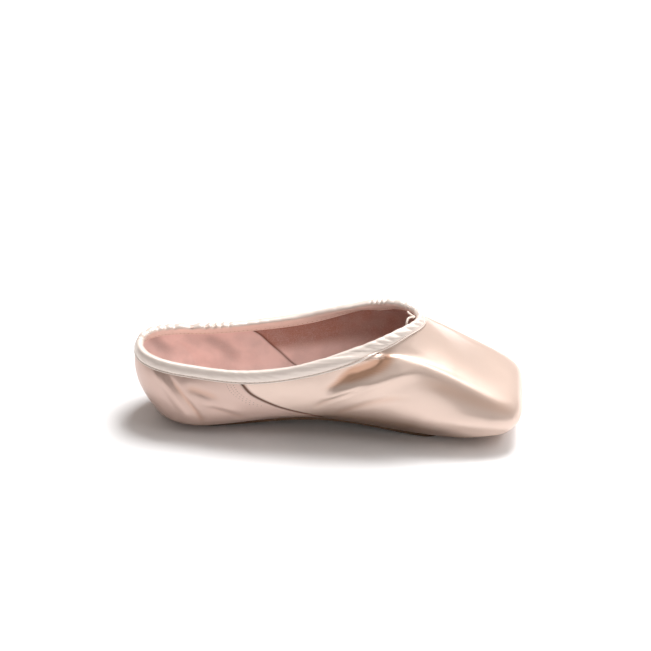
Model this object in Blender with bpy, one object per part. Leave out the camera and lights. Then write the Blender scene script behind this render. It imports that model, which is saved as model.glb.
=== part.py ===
"""A pointe shoe in metres: satin upper, leather outsole, insole, collar binding and drawstring.

X runs from the heel to the toe, Y across and Z up. The shoe stands on the floor, z = 0.
Both halves are the same, so it is neither a left nor a right shoe.
"""

import bmesh
import bpy
import numpy as np

# Sizes of the shoe
LENGTH = 0.240
BALL_WIDTH = 0.0684
HEEL_HEIGHT = 0.0525
INSTEP_HEIGHT = 0.077
ARCH_HEIGHT = 0.0059
QUARTER_WALL = 0.0016
BOX_WALL = 0.003
SEAM_STEP = 0.0006

# Sizes of the pieces on it
GAP = 0.0003
SOLE_THICKNESS = 0.002
SOLE_BALL_WIDTH = 0.038
SOLE_CHAMFER = 0.0006
INSOLE_THICKNESS = 0.002
INSOLE_CLEARANCE = 0.0012
BINDING_GAP = 0.00045
BINDING_THICKNESS = 0.0007
BINDING_BULGE = 0.0003
BINDING_OUTSIDE = 0.0067
BINDING_THROAT = 0.0052
BINDING_NARROWS = (0.62, 0.72)
BINDING_INSIDE = 0.0060
CORD_DIAMETER = 0.0014
STEP_CLEARANCE = 0.003
STEP_FADE = 0.003

# How finely each piece is divided
HALF_COLUMNS = 44
SEAM_COLUMN = 15
LOWER_ROWS = 11
RIM_ROWS = 7
BINDING_ROWS = 60
LINE_POINTS = 120
SOLE_STATIONS = 34
SOLE_LINE_POINTS = 40
SOLE_TIP_POINTS = 2
CORD_POINTS = 60
NEIGHBOUR_SHARE = 0.004
MERGE_DISTANCE = 1e-6

STANDING = SOLE_THICKNESS + GAP
MEAN_HEIGHT = (HEEL_HEIGHT + INSTEP_HEIGHT) / 2

# The upper's surface passes through seven level lines, from the edge of the sole's opening up to the rim
LEVELS = ("margin", "under", "feather", "belly", "shoulder", "crown", "rim")
LEVEL_SHARES = (0.0, 0.10, 0.24, 0.45, 0.70, 0.87, 1.0)

# Where each level line starts and ends, how long its round ends are, and how square they are
ENDS = {
    # level: heel, toe, heel round, toe round as shares of LENGTH, then the two exponents
    "margin": (0.125, 0.800, 0.100, 0.150, 2.2, 2.2),
    "under": (0.079, 0.900, 0.117, 0.142, 2.2, 2.6),
    "feather": (0.047, 0.967, 0.142, 0.125, 2.2, 3.6),
    "belly": (0.012, 0.990, 0.167, 0.110, 2.2, 4.4),
    "shoulder": (0.001, 0.991, 0.158, 0.104, 2.2, 4.6),
    "crown": (0.005, 0.875, 0.146, 0.125, 2.2, 3.0),
    "rim": (0.012, 0.733, 0.133, 0.142, 2.3, 2.0),
}

# Half widths as shares of half the ball width, by share of the length
WIDTH_COLUMNS = ("along",) + LEVELS
WIDTHS = (
    (0.000, 0.35, 0.53, 0.67, 0.76, 0.76, 0.69, 0.61),
    (0.125, 0.37, 0.56, 0.72, 0.80, 0.79, 0.71, 0.640),
    (0.292, 0.31, 0.46, 0.65, 0.81, 0.89, 0.88, 0.825),
    (0.458, 0.31, 0.42, 0.60, 0.82, 0.936, 0.906, 0.833),
    (0.625, 0.38, 0.51, 0.67, 0.892, 0.994, 0.877, 0.687),
    (0.771, 0.43, 0.58, 0.73, 0.950, 0.970, 0.730, 0.497),
    (0.896, 0.45, 0.66, 0.82, 0.950, 0.936, 0.720, 0.409),
    (1.000, 0.40, 0.56, 0.73, 0.840, 0.820, 0.650, 0.292),
)

# Heights: the bottom over the standing height as a share of the arch, the rim as a share of the rise from
# the heel to the instep, and the lines between them as shares of the way from the bottom to the rim
HEIGHT_COLUMNS = ("along", "bottom", "belly", "shoulder", "crown", "rim")
HEIGHTS = (
    (0.000, 0.26, 0.435, 0.764, 0.908, 0.000),
    (0.150, -0.07, 0.357, 0.692, 0.876, -0.120),
    (0.292, 0.40, 0.302, 0.632, 0.852, -0.094),
    (0.458, 1.00, 0.264, 0.622, 0.861, 0.245),
    (0.625, 0.58, 0.257, 0.591, 0.866, 0.816),
    (0.742, 0.02, 0.230, 0.515, 0.780, 1.000),
    (0.850, -0.06, 0.240, 0.525, 0.742, 0.510),
    (0.905, -0.05, 0.235, 0.545, 0.760, 0.230),
    (1.000, -0.30, 0.215, 0.585, 0.770, -0.102),
)
LIFTS = {"margin": 0.0, "under": 0.01, "feather": 0.09}

# Where the stiff box grows from the thin cloth, along the length, and where it thins again on the way up
BOX_GROWS = (0.58, 0.80)
BOX_THINS = (0.72, 0.88)

# The side seam's place along the half ring, by share of the way up
SEAM_COLUMNS = ("up", "along")
SEAM = (
    (0.00, 0.450),
    (0.16, 0.436),
    (0.30, 0.414),
    (0.45, 0.388),
    (0.54, 0.360),
    (0.66, 0.333),
    (0.76, 0.322),
    (0.87, 0.325),
    (1.00, 0.326),
)
SEAM_RUN = 0.002
SEAM_RISES = (0.12, 0.22)

# Marks on the half ring: heel centre, end of the heel's round, start of the toe's round, toe centre
MARK_SHARES = (0.0, 0.22, 0.66, 1.0)

# The sole's half width as a share of half its ball width
SOLE_COLUMNS = ("along", "width")
SOLE = (
    (0.000, 0.72),
    (0.140, 0.82),
    (0.330, 0.74),
    (0.460, 0.69),
    (0.620, 0.79),
    (0.780, 0.99),
    (1.000, 0.95),
)
SOLE_ENDS = (0.096, 0.816, 0.080, 0.065, 2.2, 2.5)
INSOLE_ENDS = (0.108, 0.880, 0.110, 0.120, 2.2, 2.6)

# The drawstring's path from its end, by way of the slit in the binding, in cord diameters back, across and up
CORD_PATH = (
    (2.4, 2.1, 0.8),
    (1.2, 0.7, 0.3),
    (-0.7, -0.8, -0.2),
    (1.1, -2.0, 0.3),
    (2.0, -3.4, 0.3),
    (2.4, -4.6, -0.5),
    (2.5, -5.0, -1.8),
    (2.5, -4.2, -3.3),
    (2.4, -2.7, -4.8),
    (2.3, -1.0, -6.4),
    (2.4, 0.2, -9.0),
    (2.6, 0.6, -12.6),
)


def column(table, names, name):
    return np.array([row[names.index(name)] for row in table])


def bends(knots, values):
    """Second derivatives of the natural cubic spline through the values."""
    count = len(knots)
    steps = np.diff(knots)
    matrix = np.eye(count)
    right = np.zeros(values.shape)
    for i in range(1, count - 1):
        matrix[i, i - 1 : i + 2] = steps[i - 1], 2 * (steps[i - 1] + steps[i]), steps[i]
        after = (values[i + 1] - values[i]) / steps[i]
        before = (values[i] - values[i - 1]) / steps[i - 1]
        right[i] = 6 * (after - before)
    return np.linalg.solve(matrix, right.reshape(count, -1)).reshape(values.shape)


def through(knots, values, at):
    """The natural cubic spline through the values, at each of the places."""
    knots = np.asarray(knots, float)
    values = np.asarray(values, float)
    second = bends(knots, values)
    i = np.clip(np.searchsorted(knots, at) - 1, 0, len(knots) - 2)
    shape = (slice(None),) + (None,) * (values.ndim - 1)
    step = (knots[i + 1] - knots[i])[shape]
    before = (knots[i + 1] - at)[shape] / step
    after = (at - knots[i])[shape] / step
    curved = (before**3 - before) * second[i] + (after**3 - after) * second[i + 1]
    return before * values[i] + after * values[i + 1] + curved * step**2 / 6


def along_foot(table, names, name, x):
    """A column of a table at places along the foot."""
    return through(column(table, names, "along") * LENGTH, column(table, names, name), x)


def bottom_at(x):
    """Height of the upper's underside."""
    share = along_foot(HEIGHTS, HEIGHT_COLUMNS, "bottom", x)
    sole_toe, toe_round = SOLE_ENDS[1], SOLE_ENDS[3]
    under_sole = np.where(x < (sole_toe + toe_round / 2) * LENGTH, 0.0, -1.0)
    return STANDING + ARCH_HEIGHT * np.maximum(share, under_sole)


def rim_at(x):
    share = along_foot(HEIGHTS, HEIGHT_COLUMNS, "rim", x)
    return HEEL_HEIGHT + (INSTEP_HEIGHT - HEEL_HEIGHT) * share


def height_at(level, x):
    bottom = bottom_at(x)
    side = rim_at(x) - bottom
    if level == "rim":
        return bottom + side
    if level in LIFTS:
        return bottom + LIFTS[level] * MEAN_HEIGHT
    share = along_foot(HEIGHTS, HEIGHT_COLUMNS, level, x)
    return bottom + side * share


def half_width_at(level, x):
    share = along_foot(WIDTHS, WIDTH_COLUMNS, level, x)
    return share * BALL_WIDTH / 2


def round_ended(ends, points):
    """Places along the length and the share of the width there, and the index of each of the four marks."""
    heel, toe, heel_run, toe_run, heel_power, toe_power = ends
    turn = np.linspace(0, np.pi / 2, points)
    heel_x = heel + heel_run * (1 - np.cos(turn) ** (2 / heel_power))
    toe_x = toe - toe_run * (1 - np.sin(turn) ** (2 / toe_power))
    body_x = np.linspace(heel + heel_run, toe - toe_run, points)[1:-1]
    x = np.concatenate([heel_x, body_x, toe_x]) * LENGTH
    heel_share = np.sin(turn) ** (2 / heel_power)
    toe_share = np.cos(turn) ** (2 / toe_power)
    share = np.concatenate([heel_share, np.ones(points - 2), toe_share])
    return x, share, [0, points - 1, 2 * points - 2, len(x) - 1]


def level_points(level, shares):
    """Points of one half of a level line at shares of the way from the heel's centre to the toe's."""
    x, closing, marks = round_ended(ENDS[level], LINE_POINTS)
    line = np.stack([x, half_width_at(level, x) * closing, height_at(level, x)], axis=1)
    steps = np.linalg.norm(np.diff(line[:, :2], axis=0), axis=1)
    along = np.concatenate([[0], np.cumsum(steps)])
    at = np.clip(through(MARK_SHARES, along[marks], shares), 0, along[-1])
    return np.stack([np.interp(at, along, line[:, axis]) for axis in range(3)], axis=1)


def half_surface(shares, up):
    """The upper's outside along one row, at the share of the way up from the opening to the rim."""
    lines = np.stack([level_points(level, shares) for level in LEVELS])
    return through(LEVEL_SHARES, lines, np.array([up]))[0]


def row_shares(up):
    """Shares of the half ring for each column: two neighbours stand on either side of the side seam."""
    knots = column(SEAM, SEAM_COLUMNS, "up")
    seam = through(knots, column(SEAM, SEAM_COLUMNS, "along"), np.array([up]))[0]
    behind = np.linspace(0, seam, SEAM_COLUMN + 1)
    ahead = np.linspace(seam + SEAM_RUN, 1, HALF_COLUMNS - SEAM_COLUMN)
    return np.concatenate([behind, ahead])


def full_ring(half):
    """Both halves of a row: the near side from heel to toe, then the far side back."""
    near = half * np.array([1, -1, 1])
    far = half[-2:0:-1]
    return np.concatenate([near, far])


def ring_values(half):
    return np.concatenate([half, half[-2:0:-1]])


def smooth(value, low, high):
    share = np.clip((value - low) / (high - low), 0, 1)
    return share * share * (3 - 2 * share)


def ring_at(up, columns_of):
    return full_ring(half_surface(row_shares(columns_of), up))


def upper_grid(ups):
    """Outside points and outward normals of the upper, a ring for each share of the way up."""
    grid = np.stack([ring_at(up, up) for up in ups])
    above = np.stack([ring_at(min(up + NEIGHBOUR_SHARE, 1), up) for up in ups])
    below = np.stack([ring_at(max(up - NEIGHBOUR_SHARE, 0), up) for up in ups])
    along = np.roll(grid, -1, axis=1) - np.roll(grid, 1, axis=1)
    normals = np.cross(along, above - below)
    return grid, normals / np.linalg.norm(normals, axis=2, keepdims=True)


def below_rim(outside, normals):
    """The direction over the rim, square to it and to the wall, and how far below it each point is."""
    along_rim = np.roll(outside[-1], -1, axis=0) - np.roll(outside[-1], 1, axis=0)
    over = np.cross(normals[-1], along_rim)
    over = over / np.linalg.norm(over, axis=1, keepdims=True)
    return over, ((outside[-1] - outside) * over).sum(axis=2)


def wall_at(x, up):
    """The wall: thin cloth at the quarters and the rim, stiff and thick in the box."""
    box = smooth(x / LENGTH, *BOX_GROWS) * (1 - smooth(up, *BOX_THINS))
    return QUARTER_WALL + (BOX_WALL - QUARTER_WALL) * box


def step_at(up, depths):
    """How proud the rear panel stands: it dies out just below the binding and over the sole."""
    begins = BINDING_OUTSIDE + STEP_CLEARANCE
    below_binding = smooth(depths, begins, begins + STEP_FADE)
    return SEAM_STEP * smooth(up, *SEAM_RISES) * below_binding


def new_node(name, points, faces, colour, roughness):
    """One closed solid with its own material."""
    mesh = bpy.data.meshes.new(name)
    mesh.from_pydata([tuple(point) for point in points], [], faces)
    shape = bmesh.new()
    shape.from_mesh(mesh)
    bmesh.ops.remove_doubles(shape, verts=shape.verts, dist=MERGE_DISTANCE)
    bmesh.ops.dissolve_degenerate(shape, edges=shape.edges, dist=MERGE_DISTANCE)
    bmesh.ops.recalc_face_normals(shape, faces=shape.faces)
    shape.to_mesh(mesh)
    shape.free()
    node = bpy.data.objects.new(name, mesh)
    bpy.context.collection.objects.link(node)
    paint(node, colour, roughness)
    return node


def paint(node, colour, roughness):
    material = bpy.data.materials.new(node.name)
    material.use_nodes = True
    shader = material.node_tree.nodes["Principled BSDF"]
    shader.inputs["Base Color"].default_value = (*colour, 1)
    shader.inputs["Roughness"].default_value = roughness
    shader.inputs["Metallic"].default_value = 0
    node.data.materials.append(material)


def band_faces(rings, columns, closed_rings):
    """Triangles between rings of points, and from the last ring to the first when the rings close."""
    faces = []
    for row in range(rings if closed_rings else rings - 1):
        here = row * columns
        after = (row + 1) % rings * columns
        for i in range(columns):
            beside = (i + 1) % columns
            faces.append((here + i, here + beside, after + beside))
            faces.append((here + i, after + beside, after + i))
    return faces


def make_upper():
    """Outside rings from the opening to the rim, then inside rings back down to the opening."""
    shoulder = LEVEL_SHARES[-3]
    ups = np.concatenate([np.linspace(0, shoulder, LOWER_ROWS), np.linspace(shoulder, 1, RIM_ROWS + 1)[1:]])
    outside, normals = upper_grid(ups)
    walls = np.stack([wall_at(ring[:, 0], up) for ring, up in zip(outside, ups)])
    inside = outside - normals * walls[:, :, None]
    behind = ring_values(np.arange(HALF_COLUMNS + 1) <= SEAM_COLUMN)
    depths = below_rim(outside, normals)[1]
    steps = np.stack([step_at(up, depth) * behind for up, depth in zip(ups, depths)])
    raised = outside + normals * steps[:, :, None]
    rings = np.concatenate([raised, inside[::-1]])
    faces = band_faces(len(rings), rings.shape[1], True)
    return new_node("upper", rings.reshape(-1, 3), faces, (0.90, 0.72, 0.62), 0.35)


def make_collar_binding():
    """A tape folded over the rim: its outside leg, shorter at the throat, a full top and its inside leg."""
    ups = np.linspace(LEVEL_SHARES[-3], 1, BINDING_ROWS)
    outside, normals = upper_grid(ups)
    walls = np.stack([wall_at(ring[:, 0], up) for ring, up in zip(outside, ups)])
    over, depths = below_rim(outside, normals)
    downwards = np.maximum.accumulate(depths[::-1]).T

    def met(values, depth):
        """What the values of each column are where it is this far below the rim."""
        wanted = np.broadcast_to(depth, len(downwards))
        return np.array([np.interp(*places) for places in zip(wanted, downwards, values[::-1].T)])

    def across(depth, out):
        """Points this far down from the rim and out of the wall; inside, the distance is negative."""
        point = np.stack([met(outside[..., axis], depth) for axis in range(3)], axis=1)
        normal = np.stack([met(normals[..., axis], depth) for axis in range(3)], axis=1)
        away = out if out > 0 else out - met(walls, depth)
        return point + normal * np.reshape(away, (-1, 1))
    at_throat = smooth(outside[-1][:, 0] / LENGTH, *BINDING_NARROWS)
    outside_leg = BINDING_OUTSIDE + (BINDING_THROAT - BINDING_OUTSIDE) * at_throat
    outer = BINDING_GAP + BINDING_THICKNESS
    full = outer + BINDING_BULGE
    # In this order its inside is divided into triangles as the upper is
    rings = [
        across(0.0, BINDING_GAP) + over * BINDING_GAP,
        across(0.0, -BINDING_GAP) + over * BINDING_GAP,
        across(BINDING_INSIDE / 2, -BINDING_GAP),
        across(BINDING_INSIDE, -BINDING_GAP),
        across(BINDING_INSIDE, -outer),
        across(BINDING_INSIDE / 2, -full),
        across(0.0, -outer) + over * BINDING_GAP,
        (across(0.0, outer) + across(0.0, -outer)) / 2 + over * full,
        across(0.0, outer) + over * BINDING_GAP,
        across(outside_leg / 2, full),
        across(outside_leg, outer),
        across(outside_leg, BINDING_GAP),
        across(outside_leg / 2, BINDING_GAP),
    ]
    faces = band_faces(len(rings), len(rings[0]), True)
    return new_node("collar_binding", np.concatenate(rings), faces, (0.93, 0.80, 0.72), 0.3)


def make_slab(name, x, half_widths, tops, undersides, narrower, colour, roughness):
    """A thin plate along the foot, its underside narrower than its top by a chamfer."""
    shares = np.array([-1.0, -0.5, 0.0, 0.5, 1.0])
    lower = np.maximum(half_widths - narrower, 0)
    rings = []
    for place, wide, low, top, underside in zip(x, half_widths, lower, tops, undersides):
        above = [(place, share * wide, top) for share in shares]
        below = [(place, share * low, underside) for share in shares[::-1]]
        rings.append(above + below)
    points = [point for ring in rings for point in ring]
    around = len(rings[0])
    faces = band_faces(len(rings), around, False)
    faces.append(tuple(range(around)))
    faces.append(tuple(range((len(rings) - 1) * around, len(rings) * around)))
    return new_node(name, points, faces, colour, roughness)


def slab_stations(ends):
    """Places along a plate, close together at its round ends, and the share of the width at each."""
    x, closing, marks = round_ended(ends, SOLE_LINE_POINTS)
    heel_end, toe_start = marks[1], marks[2]
    third = SOLE_STATIONS // 3
    picks = np.concatenate(
        [
            np.linspace(SOLE_TIP_POINTS, heel_end, third),
            np.linspace(heel_end, toe_start, third + 2)[1:-1],
            np.linspace(toe_start, len(x) - 1 - SOLE_TIP_POINTS, third),
        ]
    ).astype(int)
    return x[picks], closing[picks]


def make_outsole():
    x, closing = slab_stations(SOLE_ENDS)
    width = along_foot(SOLE, SOLE_COLUMNS, "width", x)
    underside = bottom_at(x) - STANDING
    half_widths = width * closing * SOLE_BALL_WIDTH / 2
    top = underside + SOLE_THICKNESS
    return make_slab("outsole", x, half_widths, top, underside, SOLE_CHAMFER, (0.45, 0.29, 0.19), 0.7)


def make_insole():
    """It lies on the upper's turned-in margin, clear of the walls."""
    x, closing = slab_stations(INSOLE_ENDS)
    half_widths = (half_width_at("under", x) - INSOLE_CLEARANCE) * closing
    underside = height_at("under", x) + wall_at(x, 0) + GAP
    top = underside + INSOLE_THICKNESS
    return make_slab("insole", x, half_widths, top, underside, 0, (0.80, 0.62, 0.52), 0.9)


def make_drawstring():
    """The drawstring at the throat: a short end, a small loop beside it and a tail down inside the vamp."""
    throat = half_surface(np.array([1.0]), 1.0)[0]
    slit = throat - np.array([QUARTER_WALL + BINDING_GAP + BINDING_THICKNESS + CORD_DIAMETER, 0, 0])
    path = slit + np.array(CORD_PATH) * np.array([-1, 1, 1]) * CORD_DIAMETER
    lengths = np.concatenate([[0], np.cumsum(np.linalg.norm(np.diff(path, axis=0), axis=1))])
    path = through(lengths, path, np.linspace(0, lengths[-1], CORD_POINTS))
    curve = bpy.data.curves.new("drawstring", "CURVE")
    curve.dimensions = "3D"
    curve.bevel_depth = CORD_DIAMETER / 2
    curve.bevel_resolution = 2
    curve.use_fill_caps = True
    spline = curve.splines.new("POLY")
    spline.points.add(CORD_POINTS - 1)
    for point, place in zip(spline.points, path):
        point.co = (*place, 1)
    node = bpy.data.objects.new("drawstring", curve)
    bpy.context.collection.objects.link(node)
    paint(node, (0.92, 0.80, 0.73), 0.6)
    return node


def centre(nodes):
    """Moves the shoe along X until the middle of its length is at the origin."""
    places = np.concatenate([[corner.co.x for corner in node.data.vertices] for node in nodes])
    middle = (places.min() + places.max()) / 2
    for node in bpy.data.objects:
        node.location.x = -middle


def main():
    for item in list(bpy.data.objects):
        bpy.data.objects.remove(item)
    nodes = [make_upper(), make_outsole(), make_insole(), make_collar_binding()]
    make_drawstring()
    centre(nodes)


main()
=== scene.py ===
"""Dresses the solids of a pointe shoe in satin, cotton lining, folded tape, thread, cord and leather.

Everything is in metres, from the heel to the toe along X, and the foot's near side is at -Y. The panel in
the sidebar lists the pieces, which can also be made one by one.
"""

import bmesh
import bpy
import numpy as np
from bpy.props import FloatProperty, FloatVectorProperty, PointerProperty
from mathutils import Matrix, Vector


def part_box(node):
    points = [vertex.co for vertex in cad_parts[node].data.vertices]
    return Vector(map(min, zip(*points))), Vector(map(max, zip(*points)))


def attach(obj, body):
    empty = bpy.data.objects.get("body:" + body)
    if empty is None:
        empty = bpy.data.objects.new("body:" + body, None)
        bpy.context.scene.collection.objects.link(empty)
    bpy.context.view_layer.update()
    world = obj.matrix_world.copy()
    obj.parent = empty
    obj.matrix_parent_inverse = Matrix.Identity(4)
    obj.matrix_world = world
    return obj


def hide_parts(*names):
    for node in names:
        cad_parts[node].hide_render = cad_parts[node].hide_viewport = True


bl_info = {
    "name": "Pointe Shoe Finish",
    "version": (1, 0, 0),
    "blender": (4, 5, 0),
    "location": "3D View > Sidebar > Pointe Shoe",
    "description": "Makes the satin, lining, tape, stitches, cord, insole and sole of a pointe shoe",
    "category": "Object",
}

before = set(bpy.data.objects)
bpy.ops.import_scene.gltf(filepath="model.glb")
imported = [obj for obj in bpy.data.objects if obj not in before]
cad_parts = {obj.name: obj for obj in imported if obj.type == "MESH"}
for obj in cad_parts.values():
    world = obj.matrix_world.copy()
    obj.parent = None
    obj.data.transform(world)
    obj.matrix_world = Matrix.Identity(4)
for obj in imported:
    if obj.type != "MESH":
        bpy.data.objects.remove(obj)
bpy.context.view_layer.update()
BODY = "root"

# The shoe's driving sizes
LENGTH = 0.240
BALL_WIDTH = 0.0684
HEEL_HEIGHT = 0.0525
INSTEP_HEIGHT = 0.077
ARCH_HEIGHT = 0.0059
QUARTER_WALL = 0.0016
BOX_WALL = 0.003
SOLE_THICKNESS = 0.002
SOLE_GAP = 0.0003
SOLE_BALL_WIDTH = 0.038
INSOLE_THICKNESS = 0.002
INSOLE_CLEARANCE = 0.0008
TAPE_OUTSIDE = 0.0067
TAPE_THROAT = 0.0052
TAPE_NARROWS = (0.62, 0.72)
TAPE_INSIDE = 0.0060
TAPE_GAP = 0.00025
CORD_DIAMETER = 0.0014
STANDING = SOLE_THICKNESS + SOLE_GAP
MEAN_HEIGHT = (HEEL_HEIGHT + INSTEP_HEIGHT) / 2

# The upper passes through seven level lines, from the edge of the sole's opening up to the rim
LEVELS = ("margin", "under", "feather", "belly", "shoulder", "crown", "rim")
LEVEL_SHARES = (0.0, 0.10, 0.24, 0.45, 0.70, 0.87, 1.0)

# Where each level line starts and ends, how long its round ends are, and how square they are
ENDS = {
    # level: heel, toe, heel round, toe round as shares of LENGTH, then the two exponents
    "margin": (0.125, 0.800, 0.100, 0.150, 2.2, 2.2),
    "under": (0.079, 0.900, 0.117, 0.142, 2.2, 2.6),
    "feather": (0.047, 0.967, 0.142, 0.125, 2.2, 3.6),
    "belly": (0.012, 0.990, 0.167, 0.110, 2.2, 4.4),
    "shoulder": (0.001, 0.991, 0.158, 0.104, 2.2, 4.6),
    "crown": (0.005, 0.875, 0.146, 0.125, 2.2, 3.0),
    "rim": (0.012, 0.733, 0.133, 0.142, 2.3, 2.0),
}

# Half widths as shares of half the ball width, by share of the length
WIDTH_COLUMNS = ("along",) + LEVELS
WIDTHS = (
    (0.000, 0.35, 0.53, 0.67, 0.76, 0.76, 0.69, 0.61),
    (0.125, 0.37, 0.56, 0.72, 0.80, 0.79, 0.71, 0.640),
    (0.292, 0.31, 0.46, 0.65, 0.81, 0.89, 0.88, 0.825),
    (0.458, 0.31, 0.42, 0.60, 0.82, 0.936, 0.906, 0.833),
    (0.625, 0.38, 0.51, 0.67, 0.892, 0.994, 0.877, 0.687),
    (0.771, 0.43, 0.58, 0.73, 0.950, 0.970, 0.730, 0.497),
    (0.896, 0.45, 0.66, 0.82, 0.950, 0.936, 0.720, 0.409),
    (1.000, 0.40, 0.56, 0.73, 0.840, 0.820, 0.650, 0.292),
)

# Heights: the bottom over the standing height as a share of the arch, the rim as a share of the rise from
# the heel to the instep, and the lines between them as shares of the way from the bottom to the rim
HEIGHT_COLUMNS = ("along", "bottom", "belly", "shoulder", "crown", "rim")
HEIGHTS = (
    (0.000, 0.26, 0.435, 0.764, 0.908, 0.000),
    (0.150, -0.07, 0.357, 0.692, 0.876, -0.120),
    (0.292, 0.40, 0.302, 0.632, 0.852, -0.094),
    (0.458, 1.00, 0.264, 0.622, 0.861, 0.245),
    (0.625, 0.58, 0.257, 0.591, 0.866, 0.816),
    (0.742, 0.02, 0.230, 0.515, 0.780, 1.000),
    (0.850, -0.06, 0.240, 0.525, 0.742, 0.510),
    (0.905, -0.05, 0.235, 0.545, 0.760, 0.230),
    (1.000, -0.30, 0.215, 0.585, 0.770, -0.102),
)
LIFTS = {"margin": 0.0, "under": 0.01, "feather": 0.09}

# Where the stiff box grows from the thin cloth, along the length, and where it thins again on the way up
BOX_GROWS = (0.58, 0.80)
BOX_THINS = (0.72, 0.88)

# The side seam's place along the half ring, by share of the way up
SEAM_COLUMNS = ("up", "along")
SEAM = (
    (0.00, 0.450),
    (0.16, 0.436),
    (0.30, 0.414),
    (0.45, 0.388),
    (0.54, 0.360),
    (0.66, 0.333),
    (0.76, 0.322),
    (0.87, 0.325),
    (1.00, 0.326),
)

# The lining's own seam, a little steeper
LINING_SEAM = (
    (0.00, 0.430),
    (0.20, 0.405),
    (0.40, 0.368),
    (0.57, 0.345),
    (0.69, 0.333),
    (0.81, 0.331),
    (1.00, 0.331),
)

# Marks on the half ring: heel centre, end of the heel's round, start of the toe's round, toe centre
MARK_SHARES = (0.0, 0.22, 0.66, 1.0)

# The sole's half width as a share of half its ball width
SOLE_COLUMNS = ("along", "width")
SOLE = (
    (0.000, 0.72),
    (0.140, 0.82),
    (0.330, 0.74),
    (0.460, 0.69),
    (0.620, 0.79),
    (0.780, 0.99),
    (1.000, 0.95),
)
SOLE_ENDS = (0.096, 0.816, 0.080, 0.065, 2.2, 2.5)
INSOLE_ENDS = (0.108, 0.880, 0.110, 0.120, 2.2, 2.6)

# The drawstring's path from its end, by way of the slit in the tape, in cord diameters back, across and up
CORD_PATH = (
    (2.4, 2.1, 0.8),
    (1.2, 0.7, 0.3),
    (-0.7, -0.8, -0.2),
    (1.1, -2.0, 0.3),
    (2.0, -3.4, 0.3),
    (2.4, -4.6, -0.5),
    (2.5, -5.0, -1.8),
    (2.5, -4.2, -3.3),
    (2.4, -2.7, -4.8),
    (2.3, -1.0, -6.4),
    (2.4, 0.2, -9.0),
    (2.6, 0.6, -12.6),
)

# The box's edge beside the throat is rounded off: where that begins and ends along the half ring, where
# it begins on the way up, how far the points lie to each side whose mean is taken, their weights, and the
# far side's share of the reach
EDGE_BEGINS = (0.50, 0.60)
EDGE_ENDS = (0.72, 0.82)
EDGE_UP = (0.66, 0.84)
EDGE_REACH = 0.05
EDGE_WEIGHTS = (1, 2, 3, 4, 3, 2, 1)
EDGE_FAR = 0.4

# How finely the form is worked out
LINE_POINTS = 500
FORM_STEP = 0.002
REAR_COLUMNS = 78
FRONT_COLUMNS = 118
OUTSIDE_ROWS = 104
INSIDE_ROWS = 60
TAPE_COLUMNS = 1100
RIM_ROWS = 60

# Columns of the mesh beside the side seam, as shares of the half ring behind and in front of it, and how
# far from it the even columns begin
SEAM_OFFSETS = (-0.0055, -0.0024, -0.0009, -0.0002, 0.0003, 0.0008, 0.0014, 0.0026, 0.0050)
SEAM_CLUSTER = 0.0085

# The rear panel's step at the side seam, and the lining's: how high, from and to as shares of the way up,
# and the slope as metres in front of the seam. The step ends under the tape, as metres above its hem
SEAM_STEP = 0.0006
SEAM_RISES = (0.12, 0.22)
SEAM_SLOPE = (-0.0004, 0.0002)
SEAM_COVERED = (0.003, 0.001)
LINING_STEP = 0.0004
LINING_RISES = (0.02, 0.1)
LINING_SLOPE = (-0.0003, 0.0003)

# The painted shadow line of each seam: metres in front of the seam, width in metres, and how dark. The
# satin's line begins between these shares of the way up, and the cloth changes within so many metres of the
# seam
SEAM_LINE = (0.0004, 0.0008, 1.0)
SEAM_LINE_BEGINS = (0.03, 0.12)
LINING_LINE = (0.0003, 0.0006, 0.7)
PANEL_CHANGE = 0.0002

# Pleats under the toe: how many all round, how deep and how round, where they begin along the half ring
# and end on the way up, and how much more painted shade they get than a crease of their depth
PLEAT_COUNT = 44
PLEAT_DEPTH = 0.0007
PLEAT_POWER = 0.7
PLEATS_BEGIN = (0.60, 0.68)
PLEATS_END = (0.16, 0.28)
PLEAT_SHADE = 2

# A folded wave at this level leaves the cloth where it was; a trough this deep gets the full painted shade
WAVE_LEVEL = 0.6
FOLD_DEPTH = 0.0016

# A crease fades over this share of its line at each end, and isn't worked out past so many half widths
CREASE_FADE = 0.3
CREASE_REACH = 3

NEAR, FAR = -1, 1

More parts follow.
